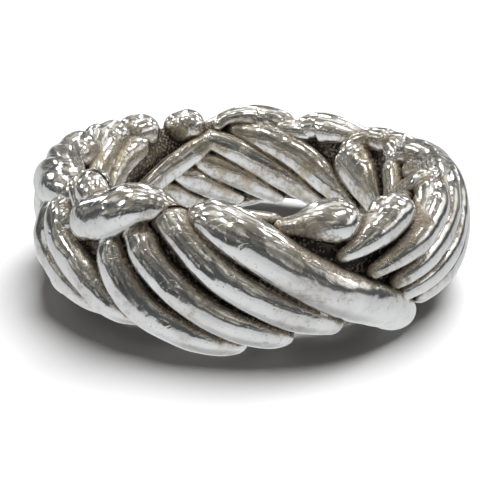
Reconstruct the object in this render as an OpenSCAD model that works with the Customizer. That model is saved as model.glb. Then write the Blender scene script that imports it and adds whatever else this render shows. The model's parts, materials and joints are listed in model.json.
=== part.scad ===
/* [Band] */
// Outside diameter of the oval band that carries the strands
outer_d = 26; // [23:0.5:30]
// Height of the oval band, rim to rim
band_h = 7.6; // [6.8:0.1:8.6]
// Thickness of the band, from finger hole to outside
wall = 4.2; // [3.8:0.1:4.8]

/* [Strands] */
// Share by which every strand is made wider or narrower
fatness = 1; // [0.9:0.02:1.1]
// Depth of a strand on the outside and the rims, as a share of its width
outer_depth = 0.84; // [0.7:0.02:1]
// Depth of a strand on the flatter wall of the finger hole, as a share of its width
inner_depth = 0.7; // [0.6:0.02:0.9]
// How far the plain core lies below the strand crests on the outside and the rims
core_drop = 1.1; // [1:0.05:1.2]
// How far the plain core lies below the strand crests in the finger hole
hole_drop = 0.75; // [0.6:0.05:0.9]
// How much the resting side is worn flat
worn_flat = 0.08; // [0:0.02:0.2]

/* [Smoothness] */
// Flats round the section of an outside strand
outer_sides = 7; // [7:1:8]
// Flats round the section of a strand in the finger hole
inner_sides = 6; // [6:1:7]
// Flats round the ring of the core
core_sides = 40; // [28:4:48]
// Flats round a rounded knob
knob_sides = 8; // [8:2:10]

/* [Hidden] */

half_wall = wall / 2;
half_h = band_h / 2;
middle_r = outer_d / 2 - half_wall;
// The underside is cut off here, and that cut becomes the resting plane
rest_z = worn_flat;
// The ring that rounds a strand's end: how far past the end it lies, in half widths, and its size
END_PAST = 0.8;
END_SIZE = 0.56;
// Corners of the core's section, and direction of the first corner of a strand's, at its crest
core_corners = 8;
first_corner = 90;

// Places on the band: turn goes round the ring, 0 in front and + to the right;
// lean goes round the section, 0 outermost, 90 on the upper rim, 180 in the finger hole
TURN = 0;
LEAN = 1;
// Width of the strand there, and how far its crest stands off the oval band
WIDTH = 2;
LIFT = 3;

// Strands that fall to the right across the outside, in mm and degrees
FALLING = [
    // outermost of the bundle, half hidden at the side
    [[-56, 46, 1.3, -0.5], [-58, 34, 1.7, -0.2], [-59, 19, 2.0, 0.0], [-58, 3, 2.2, 0.2],
     [-54, -11, 2.2, 0.2], [-48, -24, 2.0, 0.2], [-42, -36, 1.6, 0.0], [-37, -46, 1.1, -0.3]],
    // broad strand beside the rounded fold
    [[-51, 54, 1.5, -0.3], [-52, 40, 1.9, 0.0], [-52, 25, 2.2, 0.1], [-49, 9, 2.3, 0.1],
     [-43, -5, 2.2, 0.1], [-38, -17, 2.1, 0.1], [-34, -29, 1.8, 0.1], [-30, -41, 1.3, -0.1],
     [-27, -53, 0.9, -0.5]],
    // first of the four nested strands in front
    [[-32, 26, 1.5, -0.2], [-31, 12, 1.8, 0.0], [-29, -2, 1.9, 0.1], [-26, -17, 1.9, 0.1],
     [-22, -32, 1.9, 0.1], [-17, -44, 1.9, 0.1], [-12, -55, 1.8, 0.2], [-7, -68, 1.7, 0.2],
     [-3, -86, 1.3, 0.1]],
    [[-27, 48, 1.5, -0.2], [-24, 36, 1.6, 0.0], [-22, 23, 1.6, 0.1], [-18, 8, 1.6, 0.1],
     [-13, -7, 1.6, 0.1], [-7, -22, 1.6, 0.1], [-1, -34, 1.6, 0.1], [5, -47, 1.5, 0.0],
     [9, -66, 1.2, -0.3]],
    [[-20, 77, 1.5, -0.2], [-18, 66, 1.6, 0.1], [-16, 53, 1.6, 0.1], [-13, 39, 1.6, 0.1],
     [-9, 24, 1.6, 0.1], [-4, 9, 1.6, 0.1], [3, -6, 1.6, 0.1], [9, -18, 1.6, 0.1],
     [15, -28, 1.5, 0.0], [20, -39, 1.2, -0.2]],
    // thick strand that lies over all the others
    [[-12, 84, 1.6, 0.0], [-9, 75, 2.0, 0.3], [-6, 63, 2.2, 0.4], [-2, 49, 2.2, 0.4],
     [5, 30, 2.2, 0.3], [13, 10, 2.2, 0.3], [22, -8, 2.2, 0.3], [30, -23, 2.2, 0.2],
     [36, -37, 2.2, 0.1], [41, -54, 2.1, 0.2], [45, -74, 1.8, 0.1],
     [48, -92, 1.3, -0.1]],
];

// Strands that rise to the right from under the thick one
RISING = [
    [[20, 26, 0.7, -0.2], [23, 31, 1.0, 0.0], [27, 39, 1.5, 0.2], [31, 47, 1.8, 0.3],
     [34, 56, 2.0, 0.4], [37, 66, 2.0, 0.4], [39, 77, 1.7, 0.1], [41, 90, 1.4, -0.3]],
    [[28, 10, 0.8, -0.2], [34, 17, 1.2, 0.0], [41, 26, 1.6, 0.2], [46, 36, 1.8, 0.2],
     [50, 48, 1.9, 0.3], [53, 62, 1.9, 0.3], [55, 76, 1.8, 0.2], [57, 92, 1.5, -0.1],
     [60, 108, 1.2, -0.5]],
    [[35, -4, 0.9, -0.2], [42, 6, 1.4, 0.1], [50, 18, 1.8, 0.1], [58, 34, 1.8, 0.1],
     [64, 52, 1.8, 0.1], [71, 73, 1.8, 0.1], [80, 95, 1.7, 0.1], [90, 118, 1.6, 0.0],
     [98, 138, 1.4, -0.3]],
    [[39, -19, 1.0, -0.2], [47, -12, 1.5, 0.0], [56, -1, 1.8, 0.1], [64, 17, 1.9, 0.1],
     [71, 38, 1.9, 0.1], [79, 60, 1.8, 0.1], [88, 83, 1.7, 0.1], [98, 105, 1.7, 0.1],
     [106, 122, 1.6, 0.0], [111, 134, 1.4, -0.3]],
    [[50, -36, 1.4, -0.2], [59, -29, 1.8, 0.0], [68, -16, 1.9, 0.1], [76, 2, 1.9, 0.1],
     [83, 23, 1.9, 0.1], [90, 46, 1.8, 0.1], [98, 69, 1.7, 0.1], [105, 88, 1.6, 0.0],
     [111, 104, 1.3, -0.3]],
    // two that end under the next bundle
    [[84, -52, 1.3, -0.3], [94, -42, 1.8, 0.0], [103, -26, 1.9, 0.0], [111, -6, 1.9, 0.0],
     [117, 15, 1.8, 0.0], [122, 34, 1.4, -0.2]],
    [[102, -54, 1.3, -0.3], [112, -43, 1.8, 0.0], [119, -30, 1.9, 0.0], [125, -16, 1.8, -0.1],
     [129, -4, 1.5, -0.4]],
];

// Strands and folds that only the front half has
FRONT_FOLDS = [
    // fat strand folded on to the upper rim
    [[-41, 38, 2.0, 0.3], [-38, 44, 2.3, 0.5], [-34, 51, 2.3, 0.6], [-30, 59, 2.2, 0.8],
     [-27, 67, 2.1, 0.9], [-24, 75, 2.0, 0.8], [-21, 84, 1.8, 0.5], [-18, 95, 1.3, -0.1]],
    // drop shaped end beside the thick strand
    [[7, 60, 0.8, -0.2], [10, 59, 1.1, 0.0], [13, 60, 1.6, 0.2], [17, 63, 2.1, 0.3],
     [21, 65, 2.1, 0.3]],
    // last strand to rise at the right
    [[66, -46, 1.4, -0.2], [76, -36, 1.9, 0.1], [86, -20, 2.0, 0.2], [94, 1, 2.1, 0.2],
     [101, 23, 2.1, 0.2], [108, 45, 2.0, 0.1], [115, 66, 1.9, 0.0], [122, 86, 1.8, -0.1],
     [129, 112, 1.6, -0.1], [136, 142, 1.2, -0.2]],
    // dome at the left, and the strand it ends
    [[-104, -46, 1.3, -0.3], [-94, -36, 1.7, -0.1], [-86, -18, 1.8, -0.1], [-80, 6, 1.7, -0.2],
     [-75, 30, 1.8, -0.2], [-69, 47, 2.1, 0.0], [-63, 58, 2.3, 0.2],
     [-57, 68, 2.2, 0.2], [-52, 78, 1.9, 0.0]],
    // barrel over the rim, and the thin strand at its left
    [[-37, 55, 1.4, 0.0], [-40, 66, 1.7, 0.4], [-42, 77, 1.8, 0.6], [-43, 90, 1.8, 0.6],
     [-44, 105, 1.6, 0.2], [-45, 121, 1.4, -0.2]],
    [[-45, 52, 0.9, -0.2], [-47, 66, 1.1, 0.1], [-49, 80, 1.1, 0.2], [-50, 96, 1.0, 0.0]],
];

// Strands of the finger hole, in lower relief
INSIDE = [
    [[-162, 147, 1.4, -0.2], [-156, 157, 1.6, 0.0], [-148, 169, 1.7, 0.1], [-140, 180, 1.7, 0.1],
     [-132, 192, 1.7, 0.1], [-124, 206, 1.6, 0.0], [-117, 224, 1.3, -0.2]],
    [[-163, 145, 1.6, -0.1], [-171, 157, 1.8, 0.1], [-179, 169, 1.9, 0.1], [-187, 181, 1.9, 0.1],
     [-195, 193, 1.9, 0.1], [-203, 207, 1.8, 0.0], [-211, 226, 1.4, -0.2]],
    [[-174, 126, 1.6, -0.3], [-182, 135, 2.1, 0.0], [-190, 146, 2.3, 0.1], [-198, 158, 2.4, 0.1],
     [-206, 171, 2.4, 0.1], [-213, 184, 2.3, 0.1], [-220, 199, 2.0, 0.0], [-227, 219, 1.5, -0.2]],
    [[-157, 171, 1.4, -0.3], [-163, 179, 1.8, 0.0], [-170, 188, 1.8, 0.1], [-177, 198, 1.8, 0.0],
     [-185, 212, 1.6, 0.0], [-192, 231, 1.3, -0.2]],
    [[-147, 185, 1.4, -0.3], [-153, 194, 1.7, 0.0], [-160, 205, 1.7, 0.0], [-168, 220, 1.5, 0.0],
     [-175, 238, 1.2, -0.2]],
    [[-136, 200, 1.3, -0.2], [-143, 210, 1.6, 0.0], [-150, 224, 1.5, 0.0], [-157, 241, 1.2, -0.2]],
    [[-132, 131, 1.5, -0.2], [-127, 142, 1.8, 0.1], [-117, 155, 1.8, 0.1], [-110, 167, 1.8, 0.1],
     [-103, 180, 1.8, 0.1], [-96, 196, 1.7, 0.0], [-89, 216, 1.4, -0.2]],
    [[-118, 104, 1.7, 0.0], [-117, 114, 2.0, 0.2], [-113, 126, 1.9, 0.1], [-107, 139, 1.8, 0.1],
     [-97, 152, 1.8, 0.1], [-90, 166, 1.8, 0.1], [-83, 181, 1.7, 0.1], [-76, 198, 1.5, 0.0],
     [-70, 218, 1.3, -0.2]],
    [[-225, 133, 2.6, -0.3], [-227, 146, 3.4, 0.0], [-229, 162, 3.7, 0.1],
     [-235, 179, 3.0, 0.1], [-242, 196, 2.1, 0.0], [-248, 215, 1.5, -0.2]],
    [[-250, 138, 1.4, -0.2], [-253, 149, 1.7, 0.0], [-257, 165, 1.9, 0.0], [-261, 182, 1.9, 0.1],
     [-264, 199, 1.7, 0.0], [-268, 217, 1.3, -0.2]],
];

// Rounded folds that only the rear half has
REAR_FOLDS = [
    // arch over the middle, then the long fold beside it and the low strip between them
    [[-166, 122, 1.0, 0.0], [-170, 108, 1.2, 0.2], [-176, 98, 1.6, 0.4], [-183, 95, 2.2, 0.5],
     [-189, 101, 2.4, 0.3], [-193, 112, 2.2, 0.0]],
    [[-203, 116, 2.0, 0.1], [-208, 110, 2.4, 0.3], [-215, 105, 2.2, 0.2], [-222, 100, 1.9, -0.1],
     [-229, 95, 1.5, -0.5]],
    [[-192, 126, 1.3, -0.1], [-198, 126, 1.5, 0.0], [-204, 128, 1.3, -0.1]],
    // wide fold on the outside behind them
    [[140, 36, 1.9, 0.1], [143, 44, 2.2, 0.3], [148, 53, 2.3, 0.3], [153, 63, 2.1, 0.2],
     [158, 76, 1.6, -0.2]],
];

// Knobs where a strand turns over the rim: two round ends, each with its own size
KNOBS = [
    // turn, lean, width, lift of one end, then of the other
    [[-130, 111, 2.1, 0.0], [-134, 107, 2.4, 0.1]],
    [[-150, 113, 2.2, 0.0], [-154, 108, 2.4, 0.1]],
    [[-94, 104, 2.2, 0.0], [-99, 103, 2.4, 0.1]],
    [[-116, 107, 2.1, 0.0], [-120, 105, 2.2, 0.1]],
    [[-57, 100, 1.5, 0.0], [-61, 92, 1.8, 0.1]],
    [[-235, 112, 1.6, 0.0], [-239, 108, 1.7, 0.0]],
    [[-252, 134, 1.4, 0.0], [-248, 126, 1.5, 0.0]],
    [[-72, 112, 1.6, -0.1], [-76, 104, 1.6, 0.0]],
];

// Angle from a strand to its repeat at the rear, for the outside and for the finger hole
REAR_OUTSIDE = 190;
REAR_INSIDE = 180;
// In front the strands of the finger hole start below this lean, so the rim dips between the folds
FRONT_START = 112;

function unit(v) = v / norm(v);

// Point of the oval band and the direction straight out of it
function out_of(turn, lean) =
    let (side = cos(lean) / half_wall, up = sin(lean) / half_h)
    unit([side * sin(turn), -side * cos(turn), up]);
function on_band(turn, lean) =
    let (r = middle_r + half_wall * cos(lean))
    [r * sin(turn), -r * cos(turn), half_h * (1 + sin(lean))];
function crest(row) = on_band(row[TURN], row[LEAN]) + row[LIFT] * out_of(row[TURN], row[LEAN]);

// Section rings of a strand, with a smaller ring past its first and last row to round the ends
function section(rows, i, depth, sides, past, size) =
    let (
        row = rows[i],
        last = len(rows) - 1,
        along = unit(crest(rows[min(i + 1, last)]) - crest(rows[max(i - 1, 0)])),
        across = unit(cross(along, out_of(row[TURN], row[LEAN]))),
        up = cross(across, along),
        half_w = row[WIDTH] * fatness / 2,
        half_d = half_w * depth,
        middle = crest(row) - up * half_d + along * past * half_w
    )
    [
        for (k = [0 : sides - 1])
            let (a = first_corner + 360 * k / sides)
            middle + size * (across * half_w * cos(a) + up * half_d * sin(a))
    ];
function strand_rings(rows, depth, sides) =
    let (last = len(rows) - 1)
    [
        section(rows, 0, depth, sides, -END_PAST, END_SIZE),
        for (i = [0 : last]) section(rows, i, depth, sides, 0, 1),
        section(rows, last, depth, sides, END_PAST, END_SIZE),
    ];

// Closed skin over a row of rings
module skin(rings) {
    n = len(rings[0]);
    last = len(rings) - 1;
    sides = [
        for (i = [0 : last - 1], k = [0 : n - 1])
            let (next = (k + 1) % n)
            each [
                [i * n + k, i * n + next, (i + 1) * n + next],
                [i * n + k, (i + 1) * n + next, (i + 1) * n + k],
            ]
    ];
    first_end = [for (k = [n - 1 : -1 : 0]) k];
    last_end = [for (k = [0 : n - 1]) last * n + k];
    polyhedron([for (ring = rings) each ring], concat(sides, [first_end, last_end]));
}

module strands(table, depth, sides) {
    for (rows = table) skin(strand_rings(rows, depth, sides));
}
module outer_strands(table) {
    strands(table, outer_depth, outer_sides);
}
module inner_strands(table) {
    strands(table, inner_depth, inner_sides);
}

// Rounded knob between the two ends of one row pair
module knob(ends) {
    hull()
        for (row = ends)
            translate(crest(row) - out_of(row[TURN], row[LEAN]) * row[WIDTH] / 2 * outer_depth)
                sphere(d = row[WIDTH], $fn = knob_sides);
}

// Plain oval ring under the strands, seen only at the bottom of the deepest gaps
module core() {
    core_r = middle_r - (core_drop - hole_drop) / 2;
    core_half_wall = half_wall - (core_drop + hole_drop) / 2;
    // The section's flats, not its corners, lie at the drops
    corner = 1 / cos(180 / core_corners);
    rotate_extrude($fn = core_sides)
        translate([core_r, half_h])
            polygon([
                for (k = [0.5 : core_corners])
                    let (a = 360 * k / core_corners)
                    corner * [core_half_wall * cos(a), (half_h - core_drop) * sin(a)]
            ]);
}

// Rows of the finger hole strands that stay below the dip of the front rim
function below_dip(table) = [for (rows = table) [for (row = rows) if (row[LEAN] >= FRONT_START) row]];

module woven_band() {
    color([0.78, 0.77, 0.75])
        translate([0, 0, -rest_z])
            intersection() {
                union() {
                    core();
                    outer_strands(concat(FALLING, RISING, FRONT_FOLDS, REAR_FOLDS));
                    rotate(REAR_OUTSIDE) outer_strands(concat(FALLING, RISING));
                    inner_strands(INSIDE);
                    rotate(REAR_INSIDE) inner_strands(below_dip(INSIDE));
                    for (ends = KNOBS) knob(ends);
                }
                translate([0, 0, rest_z + band_h])
                    cube([2 * outer_d, 2 * outer_d, 2 * band_h], center = true);
            }
}

woven_band();
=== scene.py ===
"""Cast silver band ring of woven strands, resting on its side on a pale floor.

The strands are the same rows as the solid's. Each is drawn with rounder sections and
more rows, all are joined into one casting, and the silver gets its dark gaps,
warm film, fine scratches and pits.
"""

import json
import math

import bpy
from mathutils import Matrix, Vector
from mathutils.bvhtree import BVHTree

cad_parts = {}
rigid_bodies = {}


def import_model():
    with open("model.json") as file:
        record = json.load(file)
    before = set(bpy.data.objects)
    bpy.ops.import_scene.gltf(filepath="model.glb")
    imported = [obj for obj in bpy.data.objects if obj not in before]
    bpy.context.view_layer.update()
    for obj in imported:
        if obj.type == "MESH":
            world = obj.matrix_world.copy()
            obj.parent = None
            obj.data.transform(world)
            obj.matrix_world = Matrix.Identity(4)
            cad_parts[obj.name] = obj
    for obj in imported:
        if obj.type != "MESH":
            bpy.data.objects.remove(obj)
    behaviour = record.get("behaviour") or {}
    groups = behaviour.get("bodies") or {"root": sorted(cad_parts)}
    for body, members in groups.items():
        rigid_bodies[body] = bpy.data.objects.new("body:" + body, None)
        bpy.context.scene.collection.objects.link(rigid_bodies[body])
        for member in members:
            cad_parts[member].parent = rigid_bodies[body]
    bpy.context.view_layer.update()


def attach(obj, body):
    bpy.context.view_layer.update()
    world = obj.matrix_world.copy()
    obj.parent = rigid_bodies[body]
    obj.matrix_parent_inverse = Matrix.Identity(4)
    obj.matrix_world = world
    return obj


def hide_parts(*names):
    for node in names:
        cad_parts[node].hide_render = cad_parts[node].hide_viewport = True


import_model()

MM = 0.001

# Sizes of the band, in mm
OUTER_D = 26.0
BAND_H = 7.6
WALL = 4.2
HALF_WALL = WALL / 2
HALF_H = BAND_H / 2
MIDDLE_R = OUTER_D / 2 - HALF_WALL
# depth of a strand as a share of its width, outside and in the finger hole
OUTER_DEPTH = 0.84
INNER_DEPTH = 0.7
# a knob is as deep as it is wide, so it stands out by this share of its width
KNOB_OUT = (1 - OUTER_DEPTH) / 2
# the underside is worn flat at this height, which becomes the floor
REST_Z = 0.08
# how far the plain ring under the strands lies below the band, outside and in the finger hole
CORE_DROP = 0.98
HOLE_DROP = 1.0
# in front, the strands of the finger hole start at this lean, a little below the rim
FRONT_START = 112
# angle from a strand to its repeat, outside and in the finger hole
REAR_OUTSIDE = 190
REAR_INSIDE = 180

# How finely the casting is drawn
# flats round a strand, and how much wider it is than its row says
STRAND_SIDES = 30
FULLER = 1.09
# steps from one row of a table to the next, in a strand and in a knob
ROW_STEPS = 5
KNOB_STEPS = 3
# rings that round a strand's end, as angles from its last full ring
END_ANGLES = (18, 36, 54, 70, 84)
# flats round the plain ring and round its section
CORE_SEGMENTS = 120
CORE_SIDES = 24
# how deep the hand finish sinks the surface, and how wide its waves are, in mm
UNEVEN = 0.07
WAVE = 1.6
# vertices this near the cut of the underside lie on it, in metres
CUT_SNAP = 1e-7
# edges that turn by more degrees than this stay sharp
SHARP = 40

# What counts for the dirt in a gap
# rays from each vertex, how far they look and how far out they start, in mm
GAP_RAYS = 20
GAP_REACH = 1.4
RAY_START = 0.02
# shares for facing up, for lying deep and for facing the finger
UPWARD_SHARE = 1.15
DEEP_SHARE = 0.68
INWARD_SHARE = 0.08
# a place counts for more where its normal's upward part is above this
LEVEL = 0.3
# depths in mm between which dirt starts to settle and lies everywhere
SHALLOW = 0.62
DEEP = 0.98
# dirtiest places: turn, lean, reach in mm, and what they add
STAINS = [
    (13, 43, 1.5, 0.35),
    (19, 27, 1.2, 0.32),
    (26, 10, 1.1, 0.28),
    (34, -4, 1.0, 0.25),
    (43, 40, 0.7, 0.35),
    (-145, 141, 1.3, 0.60),
]

# Rows are turn round the ring, lean round the section, width, and lift off the oval band.
# turn is 0 in front and + to the right; lean is 0 outermost, 90 on the upper rim, 180 in the finger hole.
LEAN = 1
# strands that fall to the right across the outside
FALLING = {
    "outer_fall": [(-56, 46, 1.3, -0.5), (-58, 34, 1.7, -0.2), (-59, 19, 2.0, 0.0), (-58, 3, 2.2, 0.2),
                   (-54, -11, 2.2, 0.2), (-48, -24, 2.0, 0.2), (-42, -36, 1.6, 0.0), (-37, -46, 1.1, -0.3)],
    "broad_fall": [(-51, 54, 1.5, -0.3), (-52, 40, 1.9, 0.0), (-52, 25, 2.2, 0.1), (-49, 9, 2.3, 0.1),
                   (-43, -5, 2.2, 0.1), (-38, -17, 2.1, 0.1), (-34, -29, 1.8, 0.1), (-30, -41, 1.3, -0.1),
                   (-27, -53, 0.9, -0.5)],
    "first_nested": [(-32, 26, 1.5, -0.2), (-31, 12, 1.8, 0.0), (-29, -2, 1.9, 0.1), (-26, -17, 1.9, 0.1),
                     (-22, -32, 1.9, 0.1), (-17, -44, 1.9, 0.1), (-12, -55, 1.8, 0.2), (-7, -68, 1.7, 0.2),
                     (-3, -86, 1.3, 0.1)],
    "second_nested": [(-27, 48, 1.5, -0.2), (-24, 36, 1.6, 0.0), (-22, 23, 1.6, 0.1), (-18, 8, 1.6, 0.1),
                      (-13, -7, 1.6, 0.1), (-7, -22, 1.6, 0.1), (-1, -34, 1.6, 0.1), (5, -47, 1.5, 0.0),
                      (9, -66, 1.2, -0.3)],
    "third_nested": [(-20, 77, 1.5, -0.2), (-18, 66, 1.6, 0.1), (-16, 53, 1.6, 0.1), (-13, 39, 1.6, 0.1),
                     (-9, 24, 1.6, 0.1), (-4, 9, 1.6, 0.1), (3, -6, 1.6, 0.1), (9, -18, 1.6, 0.1),
                     (15, -28, 1.5, 0.0), (20, -39, 1.2, -0.2)],
    "thick_strand": [(-12, 84, 1.6, 0.0), (-9, 75, 2.0, 0.3), (-6, 63, 2.2, 0.4), (-2, 49, 2.2, 0.4),
                     (5, 30, 2.2, 0.3), (13, 10, 2.2, 0.3), (22, -8, 2.2, 0.3), (30, -23, 2.2, 0.2),
                     (36, -37, 2.2, 0.1), (41, -54, 2.1, 0.2), (45, -74, 1.8, 0.1), (48, -92, 1.3, -0.1)],
}
# strands that rise to the right from under the thick one
RISING = {
    "rise_1": [(20, 26, 0.7, -0.2), (23, 31, 1.0, 0.0), (27, 39, 1.5, 0.2), (31, 47, 1.8, 0.3),
               (34, 56, 2.0, 0.4), (37, 66, 2.0, 0.4), (39, 77, 1.7, 0.1), (41, 90, 1.4, -0.3)],
    "rise_2": [(28, 10, 0.8, -0.2), (34, 17, 1.2, 0.0), (41, 26, 1.6, 0.2), (46, 36, 1.8, 0.2),
               (50, 48, 1.9, 0.3), (53, 62, 1.9, 0.3), (55, 76, 1.8, 0.2), (57, 92, 1.5, -0.1),
               (60, 108, 1.2, -0.5)],
    "rise_3": [(35, -4, 0.9, -0.2), (42, 6, 1.4, 0.1), (50, 18, 1.8, 0.1), (58, 34, 1.8, 0.1),
               (64, 52, 1.8, 0.1), (71, 73, 1.8, 0.1), (80, 95, 1.7, 0.1), (90, 118, 1.6, 0.0),
               (98, 138, 1.4, -0.3)],
    "rise_4": [(39, -19, 1.0, -0.2), (47, -12, 1.5, 0.0), (56, -1, 1.8, 0.1), (64, 17, 1.9, 0.1),
               (71, 38, 1.9, 0.1), (79, 60, 1.8, 0.1), (88, 83, 1.7, 0.1), (98, 105, 1.7, 0.1),
               (106, 122, 1.6, 0.0), (111, 134, 1.4, -0.3)],
    "rise_5": [(50, -36, 1.4, -0.2), (59, -29, 1.8, 0.0), (68, -16, 1.9, 0.1), (76, 2, 1.9, 0.1),
               (83, 23, 1.9, 0.1), (90, 46, 1.8, 0.1), (98, 69, 1.7, 0.1), (105, 88, 1.6, 0.0),
               (111, 104, 1.3, -0.3)],
    "side_1": [(84, -52, 1.3, -0.3), (94, -42, 1.8, 0.0), (103, -26, 1.9, 0.0), (111, -6, 1.9, 0.0),
               (117, 15, 1.8, 0.0), (122, 34, 1.4, -0.2)],
    "side_2": [(102, -54, 1.3, -0.3), (112, -43, 1.8, 0.0), (119, -30, 1.9, 0.0), (125, -16, 1.8, -0.1),
               (129, -4, 1.5, -0.4)],
}
# strands and folds that come only once
FOLDS = {
    "rim_fold": [(-41, 38, 2.0, 0.3), (-38, 44, 2.3, 0.5), (-34, 51, 2.3, 0.6), (-30, 59, 2.2, 0.8),
                 (-27, 67, 2.1, 0.9), (-24, 75, 2.0, 0.8), (-21, 84, 1.8, 0.5), (-18, 95, 1.3, -0.1)],
    "drop": [(7, 60, 0.8, -0.2), (10, 59, 1.1, 0.0), (13, 60, 1.6, 0.2), (17, 63, 2.1, 0.3),
             (21, 65, 2.1, 0.3)],
    "last_rise": [(66, -46, 1.4, -0.2), (76, -36, 1.9, 0.1), (86, -20, 2.0, 0.2), (94, 1, 2.1, 0.2),
                  (101, 23, 2.1, 0.2), (108, 45, 2.0, 0.1), (115, 66, 1.9, 0.0), (122, 86, 1.8, -0.1),
                  (129, 112, 1.6, -0.1), (136, 142, 1.2, -0.2)],
    "left_dome": [(-104, -46, 1.3, -0.3), (-94, -36, 1.7, -0.1), (-86, -18, 1.8, -0.1), (-80, 6, 1.7, -0.2),
                  (-75, 30, 1.8, -0.2), (-69, 47, 2.1, 0.0), (-63, 58, 2.3, 0.2), (-57, 68, 2.2, 0.2),
                  (-52, 78, 1.9, 0.0)],
    "barrel": [(-37, 55, 1.4, 0.0), (-40, 66, 1.7, 0.4), (-42, 77, 1.8, 0.6), (-43, 90, 1.8, 0.6),
               (-44, 105, 1.6, 0.2), (-45, 121, 1.4, -0.2)],
    "thin_strand": [(-45, 52, 0.9, -0.2), (-47, 66, 1.1, 0.1), (-49, 80, 1.1, 0.2), (-50, 96, 1.0, 0.0)],
    "arch": [(-166, 122, 1.0, 0.0), (-170, 108, 1.2, 0.2), (-176, 98, 1.6, 0.4), (-183, 95, 2.2, 0.5),
             (-189, 101, 2.4, 0.3), (-193, 112, 2.2, 0.0)],
    "long_fold": [(-203, 116, 2.0, 0.1), (-208, 110, 2.4, 0.3), (-215, 105, 2.2, 0.2),
                  (-222, 100, 1.9, -0.1), (-229, 95, 1.5, -0.5)],
    "low_strip": [(-192, 126, 1.3, -0.1), (-198, 126, 1.5, 0.0), (-204, 128, 1.3, -0.1)],
    "wide_fold": [(140, 36, 1.9, 0.1), (143, 44, 2.2, 0.3), (148, 53, 2.3, 0.3), (153, 63, 2.1, 0.2),
                  (158, 76, 1.6, -0.2)],
}
# strands of the finger hole, in lower relief
INSIDE = {
    "hole_1": [(-162, 147, 1.4, -0.2), (-156, 157, 1.6, 0.0), (-148, 169, 1.7, 0.1), (-140, 180, 1.7, 0.1),
               (-132, 192, 1.7, 0.1), (-124, 206, 1.6, 0.0), (-117, 224, 1.3, -0.2)],
    "hole_2": [(-163, 145, 1.6, -0.1), (-171, 157, 1.8, 0.1), (-179, 169, 1.9, 0.1), (-187, 181, 1.9, 0.1),
               (-195, 193, 1.9, 0.1), (-203, 207, 1.8, 0.0), (-211, 226, 1.4, -0.2)],
    "hole_3": [(-174, 126, 1.6, -0.3), (-182, 135, 2.1, 0.0), (-190, 146, 2.3, 0.1), (-198, 158, 2.4, 0.1),
               (-206, 171, 2.4, 0.1), (-213, 184, 2.3, 0.1), (-220, 199, 2.0, 0.0), (-227, 219, 1.5, -0.2)],
    "hole_4": [(-157, 171, 1.4, -0.3), (-163, 179, 1.8, 0.0), (-170, 188, 1.8, 0.1), (-177, 198, 1.8, 0.0),
               (-185, 212, 1.6, 0.0), (-192, 231, 1.3, -0.2)],
    "hole_5": [(-147, 185, 1.4, -0.3), (-153, 194, 1.7, 0.0), (-160, 205, 1.7, 0.0), (-168, 220, 1.5, 0.0),
               (-175, 238, 1.2, -0.2)],
    "hole_6": [(-136, 200, 1.3, -0.2), (-143, 210, 1.6, 0.0), (-150, 224, 1.5, 0.0),
               (-157, 241, 1.2, -0.2)],
    "hole_7": [(-132, 131, 1.5, -0.2), (-127, 142, 1.8, 0.1), (-117, 155, 1.8, 0.1), (-110, 167, 1.8, 0.1),
               (-103, 180, 1.8, 0.1), (-96, 196, 1.7, 0.0), (-89, 216, 1.4, -0.2)],
    "hole_8": [(-118, 104, 1.7, 0.0), (-117, 114, 2.0, 0.2), (-113, 126, 1.9, 0.1), (-107, 139, 1.8, 0.1),
               (-97, 152, 1.8, 0.1), (-90, 166, 1.8, 0.1), (-83, 181, 1.7, 0.1), (-76, 198, 1.5, 0.0),
               (-70, 218, 1.3, -0.2)],
    "hole_9": [(-225, 133, 2.6, -0.3), (-227, 146, 3.4, 0.0), (-229, 162, 3.7, 0.1), (-235, 179, 3.0, 0.1),
               (-242, 196, 2.1, 0.0), (-248, 215, 1.5, -0.2)],
    "hole_10": [(-250, 138, 1.4, -0.2), (-253, 149, 1.7, 0.0), (-257, 165, 1.9, 0.0),
                (-261, 182, 1.9, 0.1), (-264, 199, 1.7, 0.0), (-268, 217, 1.3, -0.2)],
}
# round knobs where a strand turns over the rim: their two ends
KNOBS = {
    "knob_1": [(-130, 111, 2.1, 0.0), (-134, 107, 2.4, 0.1)],
    "knob_2": [(-150, 113, 2.2, 0.0), (-154, 108, 2.4, 0.1)],
    "knob_3": [(-94, 104, 2.2, 0.0), (-99, 103, 2.4, 0.1)],
    "knob_4": [(-116, 107, 2.1, 0.0), (-120, 105, 2.2, 0.1)],
    "knob_5": [(-57, 100, 1.5, 0.0), (-61, 92, 1.8, 0.1)],
    "knob_6": [(-235, 112, 1.6, 0.0), (-239, 108, 1.7, 0.0)],
    "knob_7": [(-252, 134, 1.4, 0.0), (-248, 126, 1.5, 0.0)],
    "knob_8": [(-72, 112, 1.6, -0.1), (-76, 104, 1.6, 0.0)],
}


# Places on the oval band
def out_of(turn, lean):
    """Direction straight out of the oval band."""
    t, s = math.radians(turn), math.radians(lean)
    side, up = math.cos(s) / HALF_WALL, math.sin(s) / HALF_H
    return Vector((side * math.sin(t), -side * math.cos(t), up)).normalized()


def crest(turn, lean, lift):
    """Point of a strand's crest, in mm."""
    t, s = math.radians(turn), math.radians(lean)
    r = MIDDLE_R + HALF_WALL * math.cos(s)
    on_band = Vector((r * math.sin(t), -r * math.cos(t), HALF_H * (1 + math.sin(s))))
    return on_band + lift * out_of(turn, lean)


def depth_below(place):
    """How far a point of the finished ring lies below the oval band, in mm."""
    out = math.hypot(place.x, place.y) / MM - MIDDLE_R
    up = place.z / MM + REST_Z - HALF_H
    share = math.hypot(out / HALF_WALL, up / HALF_H)
    return math.hypot(out, up) * (1 / share - 1)


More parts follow.
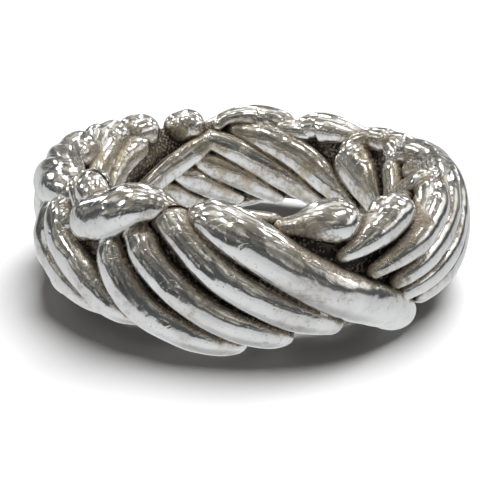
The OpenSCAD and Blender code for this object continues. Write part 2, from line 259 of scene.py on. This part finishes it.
def on_curve(before, first, second, after, t):
    """Smooth curve from first, at t = 0, to second, at t = 1."""
    straight = (second - before) * t
    square = (2 * before - 5 * first + 4 * second - after) * t**2
    cube = (3 * first - before - 3 * second + after) * t**3
    return 0.5 * (2 * first + straight + square + cube)


def smooth_rows(rows, steps):
    """The rows of a table with steps - 1 rows worked in between each two, on a smooth curve."""
    ends = [
        tuple(2 * a - b for a, b in zip(rows[0], rows[1])),
        *rows,
        tuple(2 * a - b for a, b in zip(rows[-1], rows[-2])),
    ]
    fine = []
    for i in range(len(rows) - 1):
        for k in range(steps):
            fine.append(tuple(on_curve(*four, k / steps) for four in zip(*ends[i : i + 4])))
    fine.append(tuple(rows[-1]))
    return fine


# Modelling
def deselect():
    for obj in bpy.context.selected_objects:
        obj.select_set(False)


def make_active(obj):
    deselect()
    obj.select_set(True)
    bpy.context.view_layer.objects.active = obj


def add_ring(middle, across, up, half_w, half_d):
    """One ellipse of a strand's skin."""
    turned = Matrix((across, up, across.cross(up))).transposed()
    bpy.ops.mesh.primitive_circle_add(
        vertices=STRAND_SIDES,
        radius=half_w * MM,
        fill_type="NOTHING",
        location=middle * MM,
        rotation=turned.to_euler(),
    )
    bpy.ops.transform.resize(
        value=(1, half_d / half_w, 1),
        orient_type="GLOBAL",
        orient_matrix=turned,
        orient_matrix_type="GLOBAL",
        center_override=middle * MM,
    )
    bpy.ops.mesh.select_all(action="DESELECT")


def make_strand(name, rows, depth, steps=ROW_STEPS, stand_out=0.0):
    """A closed strand along its rows, with rounded ends. stand_out lifts it by a share of its width."""
    fine = smooth_rows(rows, steps)
    crests = [crest(turn, lean, lift + stand_out * width) for turn, lean, width, lift in fine]
    last = len(fine) - 1
    deselect()
    bpy.ops.object.add(type="MESH", enter_editmode=True, location=(0, 0, 0))
    obj = bpy.context.object
    obj.name = name

    def ring(i, past, size):
        turn, lean, width, _ = fine[i]
        along = (crests[min(i + 1, last)] - crests[max(i - 1, 0)]).normalized()
        across = along.cross(out_of(turn, lean)).normalized()
        up = across.cross(along)
        half_w = width / 2 * FULLER
        half_d = half_w * depth
        middle = crests[i] - up * half_d + along * past * half_w
        add_ring(middle, across, up, half_w * size, half_d * size)

    for a in reversed(END_ANGLES):
        ring(0, -math.sin(math.radians(a)), math.cos(math.radians(a)))
    for i in range(last + 1):
        ring(i, 0, 1)
    for a in END_ANGLES:
        ring(last, math.sin(math.radians(a)), math.cos(math.radians(a)))
    bpy.ops.mesh.select_all(action="SELECT")
    bpy.ops.mesh.bridge_edge_loops(type="SINGLE")
    bpy.ops.mesh.select_all(action="SELECT")
    bpy.ops.mesh.fill_holes(sides=0)
    bpy.ops.mesh.select_all(action="SELECT")
    bpy.ops.mesh.normals_make_consistent(inside=False)
    bpy.ops.object.mode_set(mode="OBJECT")
    return obj


def turn_mesh(obj, degrees):
    """Turns the mesh round the ring and leaves the object in its place."""
    obj.data.transform(Matrix.Rotation(math.radians(degrees), 4, "Z"))


def copy_turned(obj, degrees):
    """A copy with its own mesh, turned round the ring."""
    twin = obj.copy()
    twin.data = obj.data.copy()
    bpy.context.scene.collection.objects.link(twin)
    turn_mesh(twin, degrees)
    return twin


def make_core():
    """Plain oval ring under the strands."""
    core_r = MIDDLE_R - (CORE_DROP - HOLE_DROP) / 2
    half_wall = HALF_WALL - (CORE_DROP + HOLE_DROP) / 2
    half_h = HALF_H - CORE_DROP
    middle = (0, 0, HALF_H * MM)
    deselect()
    bpy.ops.mesh.primitive_torus_add(
        major_segments=CORE_SEGMENTS,
        minor_segments=CORE_SIDES,
        major_radius=core_r * MM,
        minor_radius=half_wall * MM,
        location=middle,
    )
    core = bpy.context.object
    core.name = "core"
    bpy.ops.object.mode_set(mode="EDIT")
    bpy.ops.mesh.select_all(action="SELECT")
    bpy.ops.transform.resize(value=(1, 1, half_h / half_wall), center_override=middle)
    bpy.ops.object.mode_set(mode="OBJECT")
    bpy.ops.object.transform_apply(location=True, rotation=True, scale=True)
    return core


def make_shells():
    """All strands, folds and knobs as closed shells, with the repeats of the weave."""
    shells = []
    for name, rows in {**FALLING, **RISING}.items():
        strand = make_strand(name, rows, OUTER_DEPTH)
        shells += [strand, copy_turned(strand, REAR_OUTSIDE)]
    for name, rows in FOLDS.items():
        shells.append(make_strand(name, rows, OUTER_DEPTH))
    for name, rows in INSIDE.items():
        shells.append(make_strand(name, rows, INNER_DEPTH))
        low_rows = [row for row in rows if row[LEAN] >= FRONT_START]
        low = make_strand(name + "_front", low_rows, INNER_DEPTH)
        turn_mesh(low, REAR_INSIDE)
        shells.append(low)
    for name, rows in KNOBS.items():
        shells.append(make_strand(name, rows, 1.0, KNOB_STEPS, KNOB_OUT))
    return shells


def make_uneven(shells):
    """Sinks the surfaces here and there, as a hand-finished wax leaves them."""
    waves = bpy.data.textures.new("hand_finish", "CLOUDS")
    waves.noise_scale = WAVE * MM
    waves.noise_depth = 1
    for obj in shells:
        make_active(obj)
        sink = obj.modifiers.new("uneven", "DISPLACE")
        sink.texture = waves
        sink.texture_coords = "GLOBAL"
        sink.strength = UNEVEN * MM
        sink.mid_level = 1.0
        bpy.ops.object.modifier_apply(modifier=sink.name)


def join_casting(base, others):
    """Unites closed shells into one."""
    group = bpy.data.collections.new("strands")
    bpy.context.scene.collection.children.link(group)
    for obj in others:
        for place in list(obj.users_collection):
            place.objects.unlink(obj)
        group.objects.link(obj)
    make_active(base)
    union = base.modifiers.new("union", "BOOLEAN")
    union.operation = "UNION"
    union.solver = "MANIFOLD"
    union.operand_type = "COLLECTION"
    union.collection = group
    bpy.ops.object.modifier_apply(modifier=union.name)
    for obj in list(group.objects):
        bpy.data.objects.remove(obj)
    bpy.data.collections.remove(group)


def cut_underside(obj):
    """Cuts the underside flat and sets the cut on the floor."""
    make_active(obj)
    bpy.ops.object.mode_set(mode="EDIT")
    bpy.ops.mesh.select_all(action="SELECT")
    bpy.ops.mesh.bisect(
        plane_co=(0, 0, REST_Z * MM),
        plane_no=(0, 0, -1),
        use_fill=True,
        clear_outer=True,
        threshold=CUT_SNAP,
    )
    bpy.ops.mesh.select_all(action="SELECT")
    bpy.ops.transform.translate(value=(0, 0, -REST_Z * MM))
    bpy.ops.object.mode_set(mode="OBJECT")


def dome_of_rays(count):
    """Directions spread over a dome round z, closer together towards its top."""
    golden = math.pi * (3 - math.sqrt(5))
    dome = []
    for k in range(count):
        flat = math.sqrt((k + 0.5) / count)
        dome.append((flat * math.cos(k * golden), flat * math.sin(k * golden), math.sqrt(1 - flat * flat)))
    return dome


def closed_in(tree, dome, place, normal):
    """How far a place is closed in, added up over the rays: 0 for a free one, up to 1 for a stopped one."""
    reach = GAP_REACH * MM
    side = normal.orthogonal().normalized()
    other = normal.cross(side)
    start = place + normal * (RAY_START * MM)
    shut = 0.0
    for x, y, z in dome:
        hit = tree.ray_cast(start, side * x + other * y + normal * z, reach)[3]
        if hit is not None:
            shut += 1 - hit / reach
    return shut


def stained_by(stains, place):
    """What the dirtiest places add here, less and less towards the end of their reach."""
    return sum(amount * max(1 - (place - middle).length / span, 0.0) for middle, span, amount in stains)


def mark_gaps(obj):
    """Keeps at each vertex how much dirt its gap holds, from 0 in the open to about 1 and more.

    Ground that faces up, or lies deep below the band, counts for more, as dirt stays on it.
    """
    mesh = obj.data
    tree = BVHTree.FromPolygons([v.co for v in mesh.vertices], [p.vertices for p in mesh.polygons])
    dome = dome_of_rays(GAP_RAYS)
    stains = [(crest(turn, lean, 0) * MM, span * MM, amount) for turn, lean, span, amount in STAINS]
    dirt = []
    for v in mesh.vertices:
        place, normal = v.co, v.normal
        shut = closed_in(tree, dome, place, normal)
        shut *= (1 + UPWARD_SHARE * (normal.z - LEVEL)) / GAP_RAYS
        deep = min(max((depth_below(place) - SHALLOW) / (DEEP - SHALLOW), 0.0), 1.0)
        inward = max(-(normal.x * place.x + normal.y * place.y) / math.hypot(place.x, place.y), 0.0)
        dirt.append(shut + DEEP_SHARE * deep + INWARD_SHARE * inward + stained_by(stains, place))
    gap = mesh.attributes.new("gap", "FLOAT", "POINT")
    gap.data.foreach_set("value", dirt)


def make_casting():
    """The whole ring: strands and plain ring in one skin, cut flat below."""
    shells = make_shells()
    casting = make_core()
    make_uneven(shells)
    join_casting(casting, shells)
    cut_underside(casting)
    bpy.ops.object.shade_smooth_by_angle(angle=math.radians(SHARP))
    mark_gaps(casting)
    casting.name = "cast_band"
    casting.data.name = "cast_band"
    return casting


# Shader maths
class Socket:
    """A shader socket whose arithmetic adds Math nodes."""

    def __init__(self, tree, socket):
        self.tree, self.socket = tree, socket

    def math(self, operation, *others):
        return node(self.tree, "ShaderNodeMath", {"operation": operation}, dict(enumerate((self, *others))))

    def __add__(self, other):
        return self.math("ADD", other)

    def __sub__(self, other):
        return self.math("SUBTRACT", other)

    def __rsub__(self, other):
        return node(self.tree, "ShaderNodeMath", {"operation": "SUBTRACT"}, {0: other, 1: self})

    def __mul__(self, other):
        return self.math("MULTIPLY", other)

    __radd__ = __add__
    __rmul__ = __mul__

    def between(self, low, high):
        """0 at low, 1 at high, smooth in between."""
        values = {"Value": self, "From Min": low, "From Max": high}
        return node(self.tree, "ShaderNodeMapRange", {"interpolation_type": "SMOOTHSTEP"}, values)

    def most(self, other):
        return self.math("MAXIMUM", other)

    def swing(self, amount):
        """Noise, which lies about 0.5, made to swing this much about 0."""
        return (self - 0.5) * amount


def node(tree, kind, settings, values, output=0):
    """Adds a node, sets its settings, then links or sets its sockets, and returns one output."""
    made = tree.nodes.new(kind)
    for key, value in settings.items():
        setattr(made, key, value)
    for key, value in values.items():
        if isinstance(value, Socket):
            tree.links.new(value.socket, made.inputs[key])
        else:
            made.inputs[key].default_value = value
    return None if output is None else Socket(tree, made.outputs[output])


# sockets of a Mix node that mixes colours
MIX_SHARE, MIX_FIRST, MIX_SECOND = 0, 6, 7
MIX_RESULT = 2


def mix(tree, share, first, second):
    """The first colour where the share is 0, the second where it is 1."""
    first, second = ((*c, 1.0) if isinstance(c, tuple) else c for c in (first, second))
    values = {MIX_SHARE: share, MIX_FIRST: first, MIX_SECOND: second}
    return node(tree, "ShaderNodeMix", {"data_type": "RGBA"}, values, MIX_RESULT)


def noise(tree, place, scale, detail=2.0, rough=0.5, distortion=0.0):
    """Cloudy noise, about 0.5 on the whole."""
    values = {
        "Vector": place,
        "Scale": scale,
        "Detail": detail,
        "Roughness": rough,
        "Distortion": distortion,
    }
    return node(tree, "ShaderNodeTexNoise", {}, values)


def split(tree, vector):
    """The x, y and z of a vector."""
    parts = node(tree, "ShaderNodeSeparateXYZ", {}, {0: vector}).socket.node
    return [Socket(tree, part) for part in parts.outputs]


# Colours of the silver, from bare metal to the crust in the deepest gaps
BARE = (0.86, 0.86, 0.85)
DULL = (0.72, 0.71, 0.69)
WARM_FILM = (0.385, 0.325, 0.25)
# in the finger hole the film is paler and golden: in part tarnish, in part painted light that brightens its
# wall
HOLE_FILM_AND_SHEEN = (0.66, 0.58, 0.43)
BROWN = (0.125, 0.101, 0.074)
BLACK = (0.024, 0.020, 0.017)
CRUMBS = (0.50, 0.44, 0.355)
# radii in mm between which the paler film of the finger hole, part tarnish and part painted sheen, fades
# out
HOLE_FADE = (9.3, 10.3)
# lays of the scratches: how each is turned, and how fine it is
SCRATCH_LAYS = [((0.4, 0.2, 0.9), 1.0), ((1.2, -0.5, 0.1), 0.8), ((-0.6, 0.9, 0.4), 1.2)]
# scales of the scratches along and across them, and of the casting pits
SCRATCH_ALONG = 600
SCRATCH_ACROSS = 9000
PIT_SCALE = 1100


def make_scratches(tree, place):
    """1 along fine scratches in three directions, 0 elsewhere."""
    scratches = None
    for turned, finer in SCRATCH_LAYS:
        along, across = SCRATCH_ALONG * finer, SCRATCH_ACROSS * finer
        values = {"Vector": place, "Rotation": turned, "Scale": (along, across, along)}
        lay = node(tree, "ShaderNodeMapping", {}, values)
        lines = noise(tree, lay, 1.0, 1.0, 0.4).between(0.66, 0.72)
        scratches = lines if scratches is None else scratches.most(lines)
    return scratches


def make_silver():
    mat = bpy.data.materials.new("worn_silver")
    mat.use_nodes = True
    tree = mat.node_tree
    tree.nodes.clear()
    place = node(tree, "ShaderNodeTexCoord", {}, {}, "Object")
    gap = node(tree, "ShaderNodeAttribute", {"attribute_name": "gap"}, {}, "Fac")
    flat_x, flat_y, _ = split(tree, place)
    patches = noise(tree, place, 420, 4.0, 0.6)
    grain = noise(tree, place, 2600, 5.0, 0.65)
    speckle = noise(tree, place, 9000)
    dents = noise(tree, place, 800, 0.5, 0.4, 0.8)

    # black in the deepest gaps, brown beside it, and a thin warm film that reaches out of them
    dirt = gap + patches.swing(0.30) + grain.swing(0.45)
    black = dirt.between(0.76, 1.02)
    brown = dirt.between(0.12, 0.44)
    film = (gap + patches.swing(0.60) + grain.swing(0.50)).between(0.02, 0.27)
    # tarnish specks on the bare silver, pale crumbs in the gaps, and 1 inside the finger hole
    specks = (speckle + grain.swing(0.6) + film * 0.10).between(0.68, 0.74) * 0.6
    crumbs = (noise(tree, place, 6200) + grain.swing(0.5)).between(0.54, 0.63) * brown * 0.75
    hole_start, hole_end = (radius * MM for radius in HOLE_FADE)
    in_hole = 1 - (flat_x * flat_x + flat_y * flat_y).math("SQRT").between(hole_start, hole_end)

    colour = mix(tree, patches.between(0.35, 0.7), BARE, DULL)
    colour = mix(tree, (film * 0.85).most(specks), colour, WARM_FILM)
    # tarnish and painted light: inside the finger hole the film turns paler and golden, which brightens and
    # warms the wall
    colour = mix(tree, in_hole * film * 0.7, colour, HOLE_FILM_AND_SHEEN)
    colour = mix(tree, brown * 0.9, colour, BROWN)
    colour = mix(tree, black, colour, BLACK)
    colour = mix(tree, crumbs, colour, CRUMBS)

    rough = 0.07 + patches * 0.13 + film * 0.10 + brown * 0.20 + black * 0.1
    metallic = 1 - (brown * 0.36 + black * 0.3) * (1 - crumbs)

    # relief in mm: slow waves, dents, grain that is coarse in the gaps, scratches and pits
    cells = node(tree, "ShaderNodeTexVoronoi", {}, {"Vector": place, "Scale": PIT_SCALE}, "Distance")
    pits = (1 - cells.between(0.08, 0.2)) * noise(tree, place, 300, 1.0).between(0.52, 0.6)
    relief = noise(tree, place, 420, 1.0) * 0.030 + dents * 0.068 + grain * (0.004 + brown * 0.110)
    relief = relief - make_scratches(tree, place) * 0.005 - pits * 0.02 + speckle * 0.003
    bump = node(tree, "ShaderNodeBump", {}, {"Strength": 1.0, "Distance": 1.0, "Height": relief * MM})

    values = {"Base Color": colour, "Roughness": rough, "Metallic": metallic, "Normal": bump}
    shader = node(tree, "ShaderNodeBsdfPrincipled", {}, values)
    node(tree, "ShaderNodeOutputMaterial", {}, {"Surface": shader}, None)
    return mat


woven_band = make_casting()
woven_band.data.materials.clear()
woven_band.data.materials.append(make_silver())
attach(woven_band, "root")
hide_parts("woven_band")


# Floor, light and camera
# the floor, in metres: its size and how far back its middle lies
FLOOR_SIZE = 8.0
FLOOR_BACK = 3.5
FLOOR_COLOUR = (0.30, 0.30, 0.305, 1.0)
FLOOR_ROUGH = 0.75

# places of the lights: side in degrees to the right, climb from straight behind over the top
# rows of lamps: climb, first side, step, count
LAMP_ROWS = [
    (31, -50, 22, 5),
    (50, -34, 32, 3),
    (74, -30, 36, 3),
    (98, -33, 22, 4),
    (121, -12, 46, 1),
]
# small windows: side and climb
WINDOWS = [(-46, 123), (48, 73), (64, 100), (-62, 80)]
# width and height of a lamp and of a window, and how far off they are, in metres
LAMP_SIZE = (0.040, 0.075)
WINDOW_SIZE = (0.05, 0.05)
LAMP_AWAY = 0.5
# brightness of lamps and windows, as they are mirrored
RADIANCE = 9.0
# the sun that lights the floor: strength, how wide it looks in degrees, side and climb
SUN_STRENGTH = 12.0
SUN_WIDE = 42
SUN_SIDE = 12
SUN_CLIMB = 77

# colours of the room that the silver mirrors
TABLE_FAR = (0.60, 0.61, 0.62)
TABLE_NEAR = (0.78, 0.79, 0.80)
# painted shadow: the table straight below the ring is darker, for the ring's own shadow on it
TABLE_SHADOW = (0.30, 0.30, 0.31)
ROOM_LOW = (0.24, 0.229, 0.199)
ROOM_HIGH = (0.24, 0.217, 0.175)
ROOM_DARK = (0.080, 0.084, 0.086)
ROOM_PALE = (0.75, 0.72, 0.65)
ROOM_EDGE = (0.03, 0.03, 0.03)
PANEL = (1.0, 0.98, 0.94)
CEILING = (1.15, 1.13, 1.08)
STRIP = (1.1, 1.1, 1.1)

# the camera: distance from the ring, height of the point it swings about, and where it looks, in mm
CAMERA_AWAY = 42.0
CAMERA_PIVOT = 3.5
CAMERA_AIM_X = -0.2
CAMERA_AIM_Z = 1.2
# how far up it stands and how far it leans, in degrees
CAMERA_UP = 18.9
CAMERA_ROLL = 1.0
# focal length and width of the picture in pixels, and width of the sensor in mm
FOCAL_PIXELS = 678
PICTURE_PIXELS = 490
SENSOR = 36
# nearest and farthest that it sees, in metres
CLIP = (0.002, 10)


def make_floor():
    mat = bpy.data.materials.new("pale_floor")
    mat.use_nodes = True
    shader = mat.node_tree.nodes["Principled BSDF"]
    shader.inputs["Base Color"].default_value = FLOOR_COLOUR
    shader.inputs["Roughness"].default_value = FLOOR_ROUGH
    deselect()
    bpy.ops.mesh.primitive_plane_add(size=FLOOR_SIZE, location=(0, FLOOR_BACK, 0))
    floor = bpy.context.object
    floor.name = "floor"
    floor.data.materials.append(mat)
    floor.visible_glossy = False


def toward(side, climb):
    """Direction of a light, as seen from the ring."""
    s, c = math.radians(side), math.radians(climb)
    return Vector((math.sin(s), math.cos(s) * math.cos(c), math.cos(s) * math.sin(c)))


def add_light(name, kind, way, distance):
    """A light in the given direction that faces the ring."""
    data = bpy.data.lights.new(name, kind)
    light = bpy.data.objects.new(name, data)
    bpy.context.scene.collection.objects.link(light)
    light.location = way * distance
    light.rotation_euler = (-way).to_track_quat("-Z", "Y").to_euler()
    return light


def add_lamp(name, side, climb, size):
    """A flat lamp that is seen only in the ring's gloss."""
    lamp = add_light(name, "AREA", toward(side, climb), LAMP_AWAY)
    lamp.data.shape = "RECTANGLE"
    lamp.data.size, lamp.data.size_y = size
    lamp.data.energy = RADIANCE * math.pi * size[0] * size[1]
    lamp.visible_diffuse = False


def add_sun():
    """Soft light that falls on the floor and isn't mirrored."""
    sun = add_light("soft_sun", "SUN", toward(SUN_SIDE, SUN_CLIMB), 0)
    sun.data.energy = SUN_STRENGTH
    sun.data.angle = math.radians(SUN_WIDE)
    sun.visible_glossy = False


def make_world():
    """White table below, darker straight down as a painted shadow of the ring, a room with dark and pale
    patches round it, and a white strip straight behind.
    """
    world = bpy.data.worlds.new("studio")
    bpy.context.scene.world = world
    world.use_nodes = True
    tree = world.node_tree
    tree.nodes.clear()
    way = node(tree, "ShaderNodeTexCoord", {}, {}, "Generated")
    x, y, z = split(tree, way)
    left, near, down = x * -1.0, y * -1.0, z * -1.0
    blots = noise(tree, way, 5.0)
    fine = noise(tree, way, 11.0, 2.0, 0.55)
    pale = noise(tree, way, 4.2, 2.0, 0.55)
    dark = noise(tree, way, 3.6, 2.0, 0.6)

    high = (z - y * 0.15 + blots.swing(0.9)).between(0.56, 0.68)
    room = mix(tree, high, ROOM_LOW, ROOM_HIGH)
    dark_patches = (dark - z * 0.22 - y * 0.05 + fine.swing(0.10)).between(0.37, 0.44)
    room = mix(tree, dark_patches, room, ROOM_DARK)
    room = mix(tree, (pale + z * 0.06).between(0.60, 0.64), room, ROOM_PALE)
    room = mix(tree, (1 - z.between(0.0, 0.08)) * 0.3, room, ROOM_EDGE)
    # a panel at the right, and pale patches of the ceiling
    panel = (x + pale.swing(0.3)).between(0.80, 0.84) * z.between(0.20, 0.24) * (1 - z.between(0.40, 0.45))
    room = mix(tree, panel, room, PANEL)
    overhead = z * 0.94 + y * 0.32 + x * 0.08 + pale.swing(0.55) + fine.swing(0.5)
    room = mix(tree, overhead.between(0.955, 0.985), room, CEILING)

    ground = mix(tree, (down + pale.swing(0.5)).between(0.0, 0.7), TABLE_FAR, TABLE_NEAR)
    # painted shadow: darker table straight down, for the ring's own shadow, as the floor itself isn't
    # mirrored
    ground = mix(tree, down.between(0.80, 1.0) * 0.6, ground, TABLE_SHADOW)
    # the table's edge lies lower at the front left
    lower = left.between(0.05, 0.4) * near.between(0.25, 0.65) * 0.28
    table = 1 - (z + lower + blots.swing(0.17)).between(-0.06, 0.0)
    colour = mix(tree, table, room, ground)
    strip = y.between(0.90, 0.93) * (1 - (z * z).between(0.0012, 0.0025))
    colour = mix(tree, strip, colour, STRIP)
    back = node(tree, "ShaderNodeBackground", {}, {"Color": colour, "Strength": 1.0})
    node(tree, "ShaderNodeOutputWorld", {}, {"Surface": back}, None)


def make_camera():
    """The photograph's place and angle."""
    elevation, roll = math.radians(CAMERA_UP), math.radians(CAMERA_ROLL)
    back, rise = CAMERA_AWAY * math.cos(elevation), CAMERA_AWAY * math.sin(elevation)
    place = Vector((0, -back, rise + CAMERA_PIVOT - REST_Z))
    aim = Vector((CAMERA_AIM_X, 0, CAMERA_AIM_Z - REST_Z))
    ahead = (aim - place).normalized()
    right = ahead.cross(Vector((0, 0, 1))).normalized()
    up = right.cross(ahead)
    right, up = right * math.cos(roll) + up * math.sin(roll), up * math.cos(roll) - right * math.sin(roll)
    data = bpy.data.cameras.new("camera")
    data.sensor_width = SENSOR
    data.lens = SENSOR * FOCAL_PIXELS / PICTURE_PIXELS
    data.clip_start, data.clip_end = CLIP
    camera = bpy.data.objects.new("camera", data)
    bpy.context.scene.collection.objects.link(camera)
    turned = Matrix((right, up, -ahead)).transposed().to_4x4()
    camera.matrix_world = Matrix.Translation(place * MM) @ turned
    bpy.context.scene.camera = camera


make_floor()
make_world()
make_camera()
add_sun()
for row, (climb, first, step, count) in enumerate(LAMP_ROWS):
    for i in range(count):
        add_lamp(f"lamp_{row}_{i}", first + step * i, climb, LAMP_SIZE)
for i, (side, climb) in enumerate(WINDOWS):
    add_lamp(f"window_{i}", side, climb, WINDOW_SIZE)
bpy.context.scene.view_settings.view_transform = "Standard"
